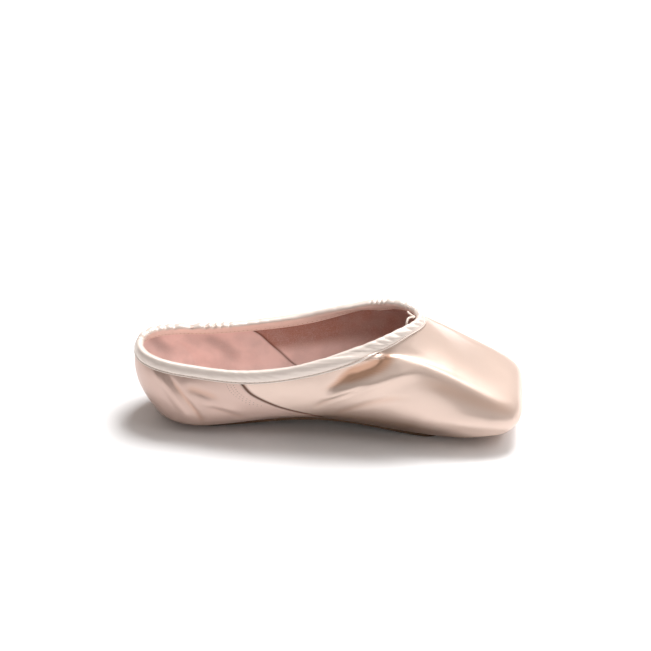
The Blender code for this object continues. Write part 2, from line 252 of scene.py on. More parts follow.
# Creases: which side, how far they rise (troughs fall), their half width, and their line as places
# (share of the half ring from heel to toe, share of the way up)
CREASES = (
    # The broad trough below the tape at the near side of the ball, and the ridge under it
    (
        NEAR,
        -0.0026,
        0.0046,
        ((0.602, 0.915), (0.590, 0.890), (0.565, 0.862), (0.530, 0.830), (0.480, 0.790), (0.430, 0.690)),
    ),
    (NEAR, 0.0014, 0.0036, ((0.620, 0.820), (0.560, 0.790), (0.500, 0.735), (0.440, 0.655), (0.405, 0.560))),
    # Sharper folds that run from it towards the waist
    (NEAR, -0.0012, 0.0014, ((0.500, 0.760), (0.465, 0.690), (0.445, 0.650), (0.420, 0.600), (0.395, 0.500))),
    (NEAR, -0.0011, 0.0019, ((0.520, 0.855), (0.490, 0.825), (0.466, 0.790), (0.440, 0.735), (0.415, 0.690))),
    (NEAR, 0.0006, 0.0017, ((0.470, 0.735), (0.450, 0.700), (0.430, 0.655), (0.412, 0.610))),
    (NEAR, -0.0006, 0.0024, ((0.560, 0.700), (0.510, 0.640), (0.470, 0.560), (0.440, 0.470), (0.425, 0.380))),
    # The hollow below the box's edge and the fuller side under it
    (
        NEAR,
        -0.0007,
        0.0058,
        ((0.560, 0.780), (0.600, 0.765), (0.650, 0.740), (0.700, 0.710), (0.740, 0.670), (0.790, 0.600)),
    ),
    (NEAR, 0.0007, 0.0060, ((0.560, 0.600), (0.620, 0.600), (0.680, 0.590), (0.740, 0.560), (0.790, 0.520))),
    # The quarter's folds: down from the heel of the tape, and lying along the waist
    (NEAR, 0.0010, 0.0022, ((0.141, 0.880), (0.165, 0.720), (0.183, 0.550), (0.190, 0.400), (0.186, 0.160))),
    (NEAR, -0.0008, 0.0018, ((0.165, 0.880), (0.190, 0.700), (0.208, 0.520), (0.215, 0.360), (0.212, 0.180))),
    (NEAR, 0.0005, 0.0020, ((0.115, 0.870), (0.140, 0.760), (0.160, 0.643), (0.178, 0.437), (0.170, 0.250))),
    (NEAR, -0.0007, 0.0030, ((0.200, 0.720), (0.225, 0.715), (0.250, 0.690), (0.275, 0.640))),
    (NEAR, 0.0005, 0.0032, ((0.210, 0.620), (0.240, 0.600), (0.275, 0.540), (0.305, 0.460))),
    (NEAR, -0.0005, 0.0026, ((0.235, 0.540), (0.262, 0.520), (0.285, 0.450), (0.300, 0.380))),
    # Like folds on the far side, placed a little differently
    (FAR, -0.0018, 0.0042, ((0.680, 0.945), (0.600, 0.895), (0.520, 0.830), (0.460, 0.750))),
    (FAR, 0.0011, 0.0036, ((0.620, 0.840), (0.540, 0.790), (0.470, 0.710), (0.410, 0.590))),
    (FAR, -0.0009, 0.0017, ((0.500, 0.730), (0.455, 0.660), (0.425, 0.580), (0.405, 0.490))),
    (FAR, 0.0008, 0.0022, ((0.150, 0.870), (0.172, 0.700), (0.188, 0.520), (0.186, 0.250))),
    (FAR, -0.0006, 0.0026, ((0.215, 0.700), (0.245, 0.670), (0.275, 0.590), (0.300, 0.490))),
)

# Soft folds of the brushed lining, given in the same way
LINING_CREASES = (
    (FAR, -0.0012, 0.0050, ((0.075, 0.900), (0.100, 0.780), (0.125, 0.640), (0.160, 0.500))),
    (FAR, 0.0010, 0.0050, ((0.130, 0.900), (0.165, 0.780), (0.205, 0.640), (0.250, 0.520))),
    (FAR, -0.0012, 0.0060, ((0.215, 0.860), (0.245, 0.740), (0.265, 0.600), (0.280, 0.440))),
    (FAR, 0.0007, 0.0050, ((0.290, 0.800), (0.300, 0.660), (0.310, 0.540), (0.320, 0.400))),
    (NEAR, -0.0010, 0.0055, ((0.120, 0.860), (0.150, 0.720), (0.180, 0.560), (0.200, 0.400))),
)

# Shade painted on the satin along the sole: share of the half ring, how dark, and the shares of the way up
# to which it stays so and at which it ends
LOW_COLUMNS = ("along", "dark", "full", "none")
LOW_SHADES = (
    (0.00, 0.40, 0.12, 0.50),
    (0.30, 0.40, 0.14, 0.54),
    (0.42, 0.92, 0.34, 0.66),
    (0.55, 0.92, 0.32, 0.62),
    (0.66, 0.45, 0.16, 0.36),
    (0.80, 0.35, 0.08, 0.26),
    (1.00, 0.30, 0.05, 0.20),
)

# Painted light on the lining behind the vamp, paler low down where light falls into the shoe: up to which
# shares of the way up and of the half ring, and how pale
LINING_LIGHT_UP = (0.56, 0.68)
LINING_LIGHT_ALONG = (0.44, 0.60)
LINING_LIGHT_SHARE = 0.9

# Gathers of the tape: which side, from and to as shares of the half rim from heel to throat, how far
# apart, how far they push the tape out, and how far they lift its top
GATHERS = (
    (FAR, -0.02, 0.34, 0.0066, 0.0005, 0.0024),
    (FAR, 0.80, 1.02, 0.0052, 0.0006, 0.0014),
    (NEAR, 0.74, 1.02, 0.0062, 0.0006, 0.0004),
    (NEAR, -0.02, 0.74, 0.0090, 0.00012, 0.00015),
    (FAR, 0.34, 0.80, 0.0100, 0.00015, 0.0003),
)

# They begin and end within this share of the half rim
GATHER_FADE = 0.03

# Two slow waves change the gathers' spacing and a third their size: how much and how fast
SLOW_DRIFT = (1.2, 0.61)
QUICK_DRIFT = (0.9, 1.37)
SIZE_DRIFT = (0.25, 0.83)

# Gathers lean as they go down, by this share of the way
GATHER_SLANT = 0.5

# They push out the parts of the cut that stand off by more than this share of the tape's thickness, this
# strongly, and begin between these shares of the leg above the hem
GATHER_OFF = 0.7
GATHER_PUSH = 1.4
GATHER_HEM = (0.08, 0.35)

# They lift the parts that lie within the first share of the leg, less and less towards the second
GATHER_LIFT = (0.3, 0.35)

# The tape's cut: which leg, down from the rim as a share of the leg, out from the wall as a share of the
# tape's thickness, and up over the rim as a share of that thickness
TAPE_CUT = (
    ("outside", 1.00, 0.15, 0.0),
    ("outside", 1.02, 0.60, 0.0),
    ("outside", 0.985, 1.00, 0.0),
    ("outside", 0.94, 1.10, 0.0),
    ("outside", 0.895, 0.86, 0.0),
    ("outside", 0.855, 0.86, 0.0),
    ("outside", 0.80, 1.15, 0.0),
    ("outside", 0.65, 1.45, 0.0),
    ("outside", 0.45, 1.62, 0.0),
    ("outside", 0.25, 1.60, 0.0),
    ("outside", 0.10, 1.40, 0.2),
    ("outside", 0.00, 1.05, 0.75),
    ("top", 0.00, 0.45, 1.20),
    ("top", 0.00, -0.45, 1.20),
    ("inside", 0.00, 1.05, 0.75),
    ("inside", 0.12, 1.40, 0.2),
    ("inside", 0.30, 1.50, 0.0),
    ("inside", 0.55, 1.40, 0.0),
    ("inside", 0.74, 1.10, 0.0),
    ("inside", 0.80, 0.86, 0.0),
    ("inside", 0.86, 0.86, 0.0),
    ("inside", 0.93, 1.05, 0.0),
    ("inside", 1.00, 0.85, 0.0),
    ("inside", 1.00, 0.15, 0.0),
    ("inside", 0.40, 0.15, 0.0),
    ("outside", 0.40, 0.15, 0.0),
)

# The groove that the stitches pull into the tape: its place and width as shares of the leg, how much shade
# is painted into it on each leg, and how far off a part of the cut stands that has it, as a share of the
# tape's thickness
TAPE_GROOVE = 0.875
GROOVE_WIDTH = 0.035
GROOVE_SHADES = {"outside": 0.55, "top": 0.35, "inside": 0.35}
GROOVE_OFF = 0.5

# The tape's stitches: their line as a share of each leg, how far they stand off as a share of the tape's
# thickness, and how far their ends dip as a share of the thread's
STITCH_LINES = {"outside": TAPE_GROOVE, "inside": 0.83}
STITCH_STANDS = 0.90
STITCH_DIP = 0.6

# Rows of small stitches behind the side seam: metres behind it, from and to as shares of the way up. Then
# how far apart and how long the stitches are, how much they slant, and how dark their thread is
SEAM_ROWS = (
    (0.0045, 0.60, 0.845),
    (0.0062, 0.60, 0.845),
    (0.0079, 0.62, 0.845),
)
SEAM_STITCH_PITCH = 0.0017
SEAM_STITCH_LENGTH = 0.0008
SEAM_STITCH_SLANT = 0.8
SEAM_STITCH_SHADE = 0.35

# The plates' grid and edges, and the heights above the floor, in metres, over which the sole's leather grows
# darker towards the floor
PLATE_STATIONS = 60
PLATE_COLUMNS = 17
SOLE_ROUNDING = 0.00055
INSOLE_ROUNDING = 0.0007
FLOOR_DARKENING = (0.0001, 0.0015)

# The cord: how far behind the wall the slit in the tape is, how finely the tube is divided, how small its
# very tips are, and a direction in which it never runs
SLIT_DEPTH = 0.00115
CORD_POINTS = 180
CORD_SIDES = 12
CORD_TIP = 0.02
CORD_ACROSS = (0.3, 0.2, 1.0)

# Colours of raised fibres, and of the shade painted into the groove that the stitches pull into the tape
LINING_FIBRE = (0.95, 0.74, 0.70)
INSOLE_FIBRE = (0.95, 0.75, 0.71)
SOLE_FIBRE = (0.62, 0.43, 0.29)
GROOVE_SHADE_COLOUR = (0.50, 0.33, 0.24)

# The camera looks from the near side, turned a little towards the toe
CAMERA_RISE = 35.0
CAMERA_TURN = 3.5
CAMERA_DISTANCE = 1.5
CAMERA_AIM = (-0.0005, 0.0, 0.025)
PICTURE_PIXELS = 651
AIM_PIXEL = (328.0, 383.0)
METRES_ACROSS = 0.4059
SENSOR = 36.0

# The room's glow: which way its bright end lies, from this share of that way to that one, and how bright
BRIGHT_END = (0.0, 0.6, 0.8)
ROOM_GLOW = (-0.1, 0.9, 0.06, 0.44)
ROOM_COLOUR = (1.0, 0.90, 0.82, 1)

# Lights: where they stand, how wide and high they are and how strong
LIGHTS = (
    ("key", (0.28, 0.44, 1.42), 0.60, 0.60, 25.0),
    ("band", (0.78, -0.10, 1.12), 1.00, 0.45, 5.0),
    ("front", (0.20, -1.00, 0.80), 1.20, 0.60, 1.2),
)
FLOOR_SIZE = 6
FLOOR_PLACE = (0, 0.8, -0.0001)


def length_property(name, description, default):
    return FloatProperty(name=name, description=description, default=default, unit="LENGTH")


class ShoeSizes(bpy.types.PropertyGroup):
    """Lengths of the finish."""

    tape_thickness: length_property("Tape Thickness", "How thick the folded tape is on each leg", 0.0008)
    stitch_length: length_property("Stitch Length", "Length of one visible stitch of thread", 0.0013)
    stitch_pitch: length_property("Stitch Pitch", "Distance from one stitch to the next", 0.0022)
    thread_diameter: length_property("Thread Diameter", "Thickness of the sewing thread", 0.00030)


def colour_property(name, description, default):
    return FloatVectorProperty(
        name=name,
        description=description,
        default=default,
        subtype="COLOR",
        size=3,
        min=0,
        max=1,
    )


class ShoeColours(bpy.types.PropertyGroup):
    """Colours of the finish."""

    vamp: colour_property("Vamp Satin", "Satin of the box and vamp", (0.86, 0.67, 0.575))
    quarter: colour_property("Quarter Satin", "Satin of the rear panels", (0.71, 0.51, 0.44))
    # Painted shade: the satin's colour in the troughs of its creases and pleats and along the sole
    painted_shade: colour_property("Satin Painted Shade", "Satin in its folds and along the sole", (0.60, 0.29, 0.15))
    tape: colour_property("Tape", "Pale satin tape around the collar", (0.95, 0.84, 0.77))
    nap: colour_property("Brushed Lining", "Pink cotton of the rear lining", (0.94, 0.75, 0.71))
    front_lining: colour_property("Front Lining", "Cotton behind the vamp", (0.43, 0.22, 0.17))
    insole: colour_property("Insole", "Brushed cover of the insole", (0.83, 0.53, 0.46))
    cord: colour_property("Cord", "Cotton drawstring", (0.92, 0.80, 0.72))
    thread: colour_property("Thread", "Sewing thread", (0.72, 0.56, 0.46))
    sole: colour_property("Sole Leather", "Split leather of the sole", (0.20, 0.115, 0.07))
    seam_shadow: colour_property("Seam Shadow", "Depth of an overlapped seam", (0.13, 0.035, 0.010))
    floor: colour_property("Floor", "Studio floor", (0.93, 0.93, 0.94))


def sizes():
    return bpy.context.scene.shoe_sizes


def colours():
    return bpy.context.scene.shoe_colours


def column(table, names, name):
    return np.array([row[names.index(name)] for row in table])


def bends(knots, values):
    """Second derivatives of the natural cubic spline through the values."""
    count = len(knots)
    steps = np.diff(knots)
    matrix = np.eye(count)
    right = np.zeros(values.shape)
    for i in range(1, count - 1):
        matrix[i, i - 1 : i + 2] = steps[i - 1], 2 * (steps[i - 1] + steps[i]), steps[i]
        after = (values[i + 1] - values[i]) / steps[i]
        before = (values[i] - values[i - 1]) / steps[i - 1]
        right[i] = 6 * (after - before)
    return np.linalg.solve(matrix, right.reshape(count, -1)).reshape(values.shape)


def through(knots, values, at, each=False):
    """The natural cubic spline through the values at the places, or with each, a column's at its own."""
    knots = np.asarray(knots, float)
    values = np.asarray(values, float)
    second = bends(knots, values)
    i = np.clip(np.searchsorted(knots, at) - 1, 0, len(knots) - 2)
    own = (np.arange(len(at)),) if each else ()
    low, high = (i, *own), (i + 1, *own)
    shape = (slice(None),) + (None,) * (values[low].ndim - 1)
    step = (knots[i + 1] - knots[i])[shape]
    before = (knots[i + 1] - at)[shape] / step
    after = (at - knots[i])[shape] / step
    curved = (before**3 - before) * second[low] + (after**3 - after) * second[high]
    return before * values[low] + after * values[high] + curved * step**2 / 6


def smooth(value, low, high):
    share = np.clip((value - low) / (high - low), 0, 1)
    return share * share * (3 - 2 * share)


def unit(vectors):
    return vectors / np.linalg.norm(vectors, axis=-1, keepdims=True)


def along_foot(table, names, name, x):
    """A column of a table at places along the foot."""
    return through(column(table, names, "along") * LENGTH, column(table, names, name), x)


def bottom_at(x):
    """Height of the upper's underside."""
    share = along_foot(HEIGHTS, HEIGHT_COLUMNS, "bottom", x)
    sole_toe, toe_round = SOLE_ENDS[1], SOLE_ENDS[3]
    under_sole = np.where(x < (sole_toe + toe_round / 2) * LENGTH, 0.0, -1.0)
    return STANDING + ARCH_HEIGHT * np.maximum(share, under_sole)


def rim_at(x):
    share = along_foot(HEIGHTS, HEIGHT_COLUMNS, "rim", x)
    return HEEL_HEIGHT + (INSTEP_HEIGHT - HEEL_HEIGHT) * share


def height_at(level, x):
    bottom = bottom_at(x)
    if level == "rim":
        return rim_at(x)
    if level in LIFTS:
        return bottom + LIFTS[level] * MEAN_HEIGHT
    share = along_foot(HEIGHTS, HEIGHT_COLUMNS, level, x)
    return bottom + (rim_at(x) - bottom) * share


def half_width_at(level, x):
    return along_foot(WIDTHS, WIDTH_COLUMNS, level, x) * BALL_WIDTH / 2


def round_ended(ends, points):
    """Places along the length and the share of the width there, and the index of each of the four marks."""
    heel, toe, heel_run, toe_run, heel_power, toe_power = ends
    turn = np.linspace(0, np.pi / 2, points)
    heel_x = heel + heel_run * (1 - np.cos(turn) ** (2 / heel_power))
    toe_x = toe - toe_run * (1 - np.sin(turn) ** (2 / toe_power))
    body_x = np.linspace(heel + heel_run, toe - toe_run, points)[1:-1]
    x = np.concatenate([heel_x, body_x, toe_x]) * LENGTH
    heel_share = np.sin(turn) ** (2 / heel_power)
    toe_share = np.cos(turn) ** (2 / toe_power)
    share = np.concatenate([heel_share, np.ones(points - 2), toe_share])
    return x, share, [0, points - 1, 2 * points - 2, len(x) - 1]


def level_points(level, shares):
    """Points of one half of a level line at shares of the way from the heel's centre to the toe's."""
    x, closing, marks = round_ended(ENDS[level], LINE_POINTS)
    line = np.stack([x, half_width_at(level, x) * closing, height_at(level, x)], axis=1)
    steps = np.linalg.norm(np.diff(line[:, :2], axis=0), axis=1)
    along = np.concatenate([[0], np.cumsum(steps)])
    at = np.clip(through(MARK_SHARES, along[marks], shares), 0, along[-1])
    return np.stack([np.interp(at, along, line[:, axis]) for axis in range(3)], axis=1)


def last_at(ring, up):
    """Points of the last's surface. The ring runs from the toe (-1) along the near side to the heel (0) and
    along the far side to the toe again (1); up runs from the opening under the foot (0) to the rim (1)."""
    ring, up = np.broadcast_arrays(ring, up)
    turn = (ring + 1) % 2 - 1
    lines = np.stack([level_points(level, np.abs(turn).ravel()) for level in LEVELS])
    points = through(LEVEL_SHARES, lines, up.ravel(), each=True)
    points[:, 1] *= np.sign(turn).ravel()
    return points.reshape(ring.shape + (3,))


def toe_shift():
    """How far the last's tables lie behind the frame: the tip of the toe is where the solid's is."""
    tip = last_at(np.full(OUTSIDE_ROWS, 1.0), np.linspace(0, 1, OUTSIDE_ROWS))[:, 0].max()
    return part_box("upper")[1].x - tip


SHIFT = np.array([toe_shift(), 0, 0])


def rounded_at(ring, up):
    """The last's surface with the box's edge beside the throat rounded off, less on the far side."""
    ring, up = np.broadcast_arrays(ring, up)
    half = np.abs(ring)
    share = smooth(half, *EDGE_BEGINS) * (1 - smooth(half, *EDGE_ENDS)) * smooth(up, *EDGE_UP)
    share = share * np.where(ring > 0, EDGE_FAR, 1)
    soft = share > 0
    reach = share[soft][:, None] * EDGE_REACH * np.linspace(-1, 1, len(EDGE_WEIGHTS))
    beside = last_at(ring[soft][:, None] + reach, up[soft][:, None])
    weights = np.array(EDGE_WEIGHTS) / sum(EDGE_WEIGHTS)
    points = last_at(ring, up)
    points[soft] = (beside * weights[:, None]).sum(axis=1)
    return points


def surface_at(ring, up):
    """Points of the upper's outside in the frame, and their outward normals."""
    ring, up = np.broadcast_arrays(np.asarray(ring, float), np.asarray(up, float))
    around = rounded_at(ring + FORM_STEP, up) - rounded_at(ring - FORM_STEP, up)
    above = np.minimum(up + FORM_STEP, 1)
    below = np.maximum(up - FORM_STEP, 0)
    rise = rounded_at(ring, above) - rounded_at(ring, below)
    return rounded_at(ring, up) + SHIFT, unit(np.cross(rise, around))


def wall_at(points, up):
    """The wall: thin cloth at the quarters and the rim, stiff and thick in the box."""
    along = (points[..., 0] - SHIFT[0]) / LENGTH
    box = smooth(along, *BOX_GROWS) * (1 - smooth(up, *BOX_THINS))
    return QUARTER_WALL + (BOX_WALL - QUARTER_WALL) * box


def seam_at(up, seam=SEAM):
    return through(column(seam, SEAM_COLUMNS, "up"), column(seam, SEAM_COLUMNS, "along"), up)


def half_girth():
    """Length of the way from the heel's centre to the toe's at the belly."""
    line = last_at(np.linspace(0, 1, LINE_POINTS), LEVEL_SHARES[3])
    return np.linalg.norm(np.diff(line, axis=0), axis=1).sum()


# The cloth's layout: from the heel to the toe, and from the sole's opening to the rim
HALF_GIRTH = half_girth()
SIDE_RISE = 0.090


def line_through(places, count=28):
    """Points on the last along a smooth line through a few places (ring, up)."""
    places = np.array(places, float)
    at = np.linspace(0, len(places) - 1, count)
    smooth_places = through(np.arange(len(places)), places, at)
    return last_at(smooth_places[:, 0], smooth_places[:, 1]) + SHIFT


def from_line(points, line):
    """How far each point is from the line, and the share of the line's way where it is nearest."""
    runs = np.diff(line, axis=0)
    ahead = points[:, None] - line[None, :-1]
    share = np.clip((ahead * runs).sum(axis=2) / (runs**2).sum(axis=1), 0, 1)
    gaps = np.linalg.norm(ahead - share[:, :, None] * runs, axis=2)
    best = gaps.argmin(axis=1)
    own = np.arange(len(points))
    return gaps[own, best], (best + share[own, best]) / len(runs)


def crease_relief(points, creases=CREASES):
    """How far the creases lift each point of the cloth."""
    flat = points.reshape(-1, 3)
    lift = np.zeros(len(flat))
    for side, rise, width, line in creases:
        places = [(side * along, up) for along, up in line]
        way = line_through(places)
        reach = CREASE_REACH * width
        inside = ((flat > way.min(axis=0) - reach) & (flat < way.max(axis=0) + reach)).all(axis=1)
        gap, share = from_line(flat[inside], way)
        ends = smooth(share, 0, CREASE_FADE) * (1 - smooth(share, 1 - CREASE_FADE, 1))
        lift[inside] += rise * np.exp(-((gap / width) ** 2)) * ends
    return lift.reshape(points.shape[:-1])


def pleat_relief(ring, up):
    """Satin gathered in pleats under the toe, fanning out from the front of the sole."""
    half = np.abs(ring)
    fade = smooth(half, *PLEATS_BEGIN) * (1 - smooth(up, *PLEATS_END))
    wave = np.abs(np.sin(np.pi * PLEAT_COUNT / 2 * half)) ** PLEAT_POWER
    return PLEAT_DEPTH * fade * (wave - WAVE_LEVEL)


def upper_ring(ups, seam=SEAM):
    """Places of the columns for each row, close together beside the side seams."""
    middle = seam_at(ups, seam)[:, None]
    behind = (middle - SEAM_CLUSTER) * np.linspace(0, 1, REAR_COLUMNS)
    beside = middle + np.array(SEAM_OFFSETS)
    front = middle + SEAM_CLUSTER
    ahead = front + (1 - front) * np.linspace(0, 1, FRONT_COLUMNS)
    half = np.concatenate([behind, beside, ahead], axis=1)
    return np.concatenate([-half[:, ::-1], half[:, 1:-1]], axis=1)


def band_faces(rings, columns):
    """Faces between rings of points, and from the last ring to the first."""
    first = np.arange(rings * columns).reshape(rings, columns)
    beside = np.roll(first, -1, axis=1)
    after = np.roll(first, -1, axis=0)
    across = np.roll(beside, -1, axis=0)
    return np.stack([first, beside, across, after], axis=-1).reshape(-1, 4)


def new_piece(name, points, faces, materials):
    """A closed mesh with its faces pointing out, which rides on the shoe."""
    mesh = bpy.data.meshes.new(name)
    mesh.from_pydata(np.reshape(points, (-1, 3)).tolist(), [], [list(face) for face in faces])
    shape = bmesh.new()
    shape.from_mesh(mesh)
    bmesh.ops.recalc_face_normals(shape, faces=shape.faces)
    shape.to_mesh(mesh)
    shape.free()
    for material in materials:
        mesh.materials.append(material)
    mesh.shade_smooth()
    piece = bpy.data.objects.new(name, mesh)
    bpy.context.collection.objects.link(piece)
    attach(piece, BODY)
    return piece


def set_values(piece, name, values):
    """A value on every point of the mesh, for the materials to read."""
    attribute = piece.data.attributes.new(name, "FLOAT", "POINT")
    attribute.data.foreach_set("value", np.asarray(values, np.float32).ravel())


def set_uv(piece, places, wrap):
    """Lays the pattern out by each point's place in metres; faces that cross the wrap stay whole."""
    mesh = piece.data
    owners = np.empty(len(mesh.loops), np.int32)
    mesh.loops.foreach_get("vertex_index", owners)
    uv = np.reshape(places, (-1, 2))[owners].reshape(-1, 4, 2)
    crossing = np.ptp(uv[:, :, 0], axis=1) > wrap
    behind = uv[:, :, 0] < 0
    uv[:, :, 0] += np.where(crossing[:, None] & behind, 2 * wrap, 0)
    layer = mesh.uv_layers.new(name="cloth")
    layer.data.foreach_set("uv", uv.astype(np.float32).ravel())


class Nodes:
    """Adds and links the nodes of one material."""

    def __init__(self, name, colour, roughness):
        self.material = bpy.data.materials.new(name)
        self.material.use_nodes = True
        self.tree = self.material.node_tree
        self.shader = self.tree.nodes["Principled BSDF"]
        self.set("Base Color", (*colour, 1))
        self.set("Roughness", roughness)

    def set(self, name, value):
        self.shader.inputs[name].default_value = value

    def link(self, output, target):
        self.tree.links.new(output, target)

    def add(self, kind, settings=None, **inputs):
        """Inputs are named as in Blender with _ for a space; a socket is linked and a value is set."""
        node = self.tree.nodes.new(kind)
        for name, value in (settings or {}).items():
            setattr(node, name, value)
        for name, value in inputs.items():
            target = node.inputs[name.replace("_", " ")]
            if isinstance(value, bpy.types.NodeSocket):
                self.link(value, target)
            else:
                target.default_value = value
        return node

    def value(self, name):
        """A value that the mesh carries on its points."""
        return self.add("ShaderNodeAttribute", {"attribute_name": name}).outputs["Fac"]

    def place(self):
        return self.add("ShaderNodeTexCoord").outputs["Object"]

    def cloth(self, along=1.0, up=1.0):
        """The cloth's own layout, stretched along and up."""
        uv = self.add("ShaderNodeUVMap", {"uv_map": "cloth"}).outputs["UV"]
        return self.add("ShaderNodeMapping", Vector=uv, Scale=(along, up, 1)).outputs["Vector"]

    def noise(self, at, scale, detail=2.0, rough=0.5):
        node = self.add("ShaderNodeTexNoise", Vector=at, Scale=scale, Detail=detail, Roughness=rough)
        return node.outputs["Fac"]

    def within(self, value, low, high, to_low=0.0, to_high=1.0):
        """The value's range from low to high, spread over another range and held inside it."""
        node = self.add(
            "ShaderNodeMapRange",
            Value=value,
            From_Min=low,
            From_Max=high,
            To_Min=to_low,
            To_Max=to_high,
        )
        return node.outputs["Result"]

    def mix(self, factor, first, second):
        """A colour between two, each a colour or a socket."""
        node = self.tree.nodes.new("ShaderNodeMix")
        node.data_type = "RGBA"
        for index, value in ((0, factor), (6, first), (7, second)):
            if isinstance(value, bpy.types.NodeSocket):
                self.link(value, node.inputs[index])
            elif index:
                node.inputs[index].default_value = (*value, 1)
            else:
                node.inputs[index].default_value = value
        return node.outputs[2]

    def bump(self, height, depth, under=None):
        """Relief of the given depth in metres, over other relief."""
        node = self.add("ShaderNodeBump", Height=height, Distance=depth, Strength=1.0)
        if under is not None:
            self.link(under, node.inputs["Normal"])
        return node.outputs["Normal"]

    def brushed(self):
        """The soft light on raised fibres."""
        self.set("Specular IOR Level", 0.2)
        self.set("Sheen Weight", 0.35)
        self.set("Sheen Roughness", 0.6)

    def finish(self, colour=None, roughness=None, normal=None, tangent=False):
        if colour is not None:
            self.link(colour, self.shader.inputs["Base Color"])
        if roughness is not None:
            self.link(roughness, self.shader.inputs["Roughness"])
        if normal is not None:
            self.link(normal, self.shader.inputs["Normal"])
        if tangent:
            way = self.add("ShaderNodeTangent", {"direction_type": "UV_MAP", "uv_map": "cloth"})
            self.link(way.outputs["Tangent"], self.shader.inputs["Tangent"])
        return self.material


def darker(colour, share):
    return tuple(part * share for part in colour)


def satin_weave(nodes, at_object, depth):
    """Long floats across the cloth, and the slight unevenness of cloth drawn over a stiff form."""
    floats = nodes.noise(nodes.cloth(5200, 900), 1.0, 2.0)
    uneven = nodes.noise(at_object, 75.0, 2.0)
    return nodes.bump(floats, depth, nodes.bump(uneven, 0.00035))


def satin_material():
    """Peach satin, cooler on the rear panels, with painted shade in its creases and along the sole, and a
    painted shadow line at the overlapped seam.
    """
    nodes = Nodes("satin", colours().vamp, 0.36)
    at_object = nodes.place()
    panels = nodes.mix(nodes.value("front"), colours().quarter, colours().vamp)
    cloudy = nodes.within(nodes.noise(at_object, 38.0, 3.0), 0.35, 0.75, 0.0, 0.12)
    toned = nodes.mix(cloudy, panels, darker(colours().vamp, 0.72))
    # Painted shade in the troughs of the creases and pleats
    folded = nodes.mix(nodes.within(nodes.value("fold_shade"), 0.0, 1.0, 0.0, 0.75), toned, colours().painted_shade)
    # Painted shade along the sole
    low = nodes.mix(nodes.value("low"), folded, darker(colours().painted_shade, 0.33))
    colour = nodes.mix(nodes.value("seam"), low, colours().seam_shadow)
    nodes.set("Metallic", 0.4)
    nodes.set("Anisotropic", 0.6)
    nodes.set("Specular IOR Level", 0.6)
    nodes.set("Coat Weight", 0.35)
    nodes.set("Coat IOR", 1.7)
    nodes.set("Coat Roughness", 0.28)
    gloss = nodes.within(nodes.noise(nodes.cloth(900, 140), 1.0, 2.0), 0.3, 0.7, 0.33, 0.42)
    normal = satin_weave(nodes, at_object, 0.00002)
    return nodes.finish(colour, gloss, normal, tangent=True)


def lining_material():
    """Brushed pink cotton behind the rear panels and plain cotton behind the vamp."""
    nodes = Nodes("lining", colours().nap, 0.95)
    at_object = nodes.place()
    # Painted light: the cotton behind the vamp is paler low down, by the value low
    plain = nodes.mix(nodes.value("low"), colours().front_lining, colours().nap)
    panels = nodes.mix(nodes.value("front"), colours().nap, plain)
    # Painted shade in the troughs of the lining's creases
    fold_shade = nodes.within(nodes.value("fold_shade"), 0.0, 1.0, 0.0, 0.8)
    folded = nodes.mix(fold_shade, panels, darker(colours().nap, 0.50))
    lie = nodes.within(nodes.noise(at_object, 70.0, 3.0), 0.42, 0.66, 0.0, 0.35)
    brushed = nodes.mix(lie, folded, darker(colours().nap, 0.55))
    fibre = nodes.noise(at_object, 1500.0, 3.0, 0.7)
    speckled = nodes.mix(nodes.within(fibre, 0.45, 0.75, 0.0, 0.3), brushed, LINING_FIBRE)
    colour = nodes.mix(nodes.value("seam"), speckled, colours().seam_shadow)
    nodes.brushed()
    normal = nodes.bump(fibre, 0.00012, nodes.bump(nodes.noise(at_object, 260.0, 2.0), 0.0003))
    return nodes.finish(colour, None, normal)


def tape_material():
    nodes = Nodes("tape", colours().tape, 0.34)
    at_object = nodes.place()
    ribs = nodes.noise(nodes.cloth(4200, 700), 1.0, 2.0)
    cloudy = nodes.within(nodes.noise(at_object, 120.0, 2.0), 0.4, 0.75, 0.0, 0.2)
    toned = nodes.mix(cloudy, colours().tape, darker(colours().tape, 0.82))
    # Painted shade in the groove that the stitches pull into the tape
    colour = nodes.mix(nodes.value("groove"), toned, GROOVE_SHADE_COLOUR)
    nodes.set("Metallic", 0.2)
    nodes.set("Anisotropic", 0.5)
    nodes.set("Specular IOR Level", 0.65)
    normal = nodes.bump(ribs, 0.00003, nodes.bump(nodes.noise(at_object, 260.0, 2.0), 0.00018))
    return nodes.finish(colour, None, normal, tangent=True)


def thread_material(shade=1.0):
    nodes = Nodes("thread", colours().thread, 0.6)
    twist = nodes.noise(nodes.place(), 3000.0, 1.0)
    light, dark = darker(colours().thread, shade), darker(colours().thread, 0.6 * shade)
    colour = nodes.mix(nodes.within(twist, 0.4, 0.7), light, dark)
    return nodes.finish(colour, None, nodes.bump(twist, 0.00003))


def cord_material():
    """Braided cotton: two crossing sets of slanting strands."""
    nodes = Nodes("cord_cotton", colours().cord, 0.8)
    one_way = nodes.add("ShaderNodeTexWave", Vector=nodes.cloth(420, 420), Scale=1.0, Distortion=0.4)
    crossing = nodes.cloth(-420, 420)
    other_way = nodes.add("ShaderNodeTexWave", Vector=crossing, Scale=1.0, Distortion=0.4)
    for wave in (one_way, other_way):
        wave.bands_direction = "DIAGONAL"
    braid = nodes.add("ShaderNodeMath", {"operation": "MAXIMUM"})
    nodes.link(one_way.outputs["Fac"], braid.inputs[0])
    nodes.link(other_way.outputs["Fac"], braid.inputs[1])
    strands = braid.outputs["Value"]
    shade = nodes.within(strands, 0.3, 1.0)
    colour = nodes.mix(shade, darker(colours().cord, 0.75), colours().cord)
    nodes.set("Sheen Weight", 0.3)
    return nodes.finish(colour, None, nodes.bump(strands, 0.00012))


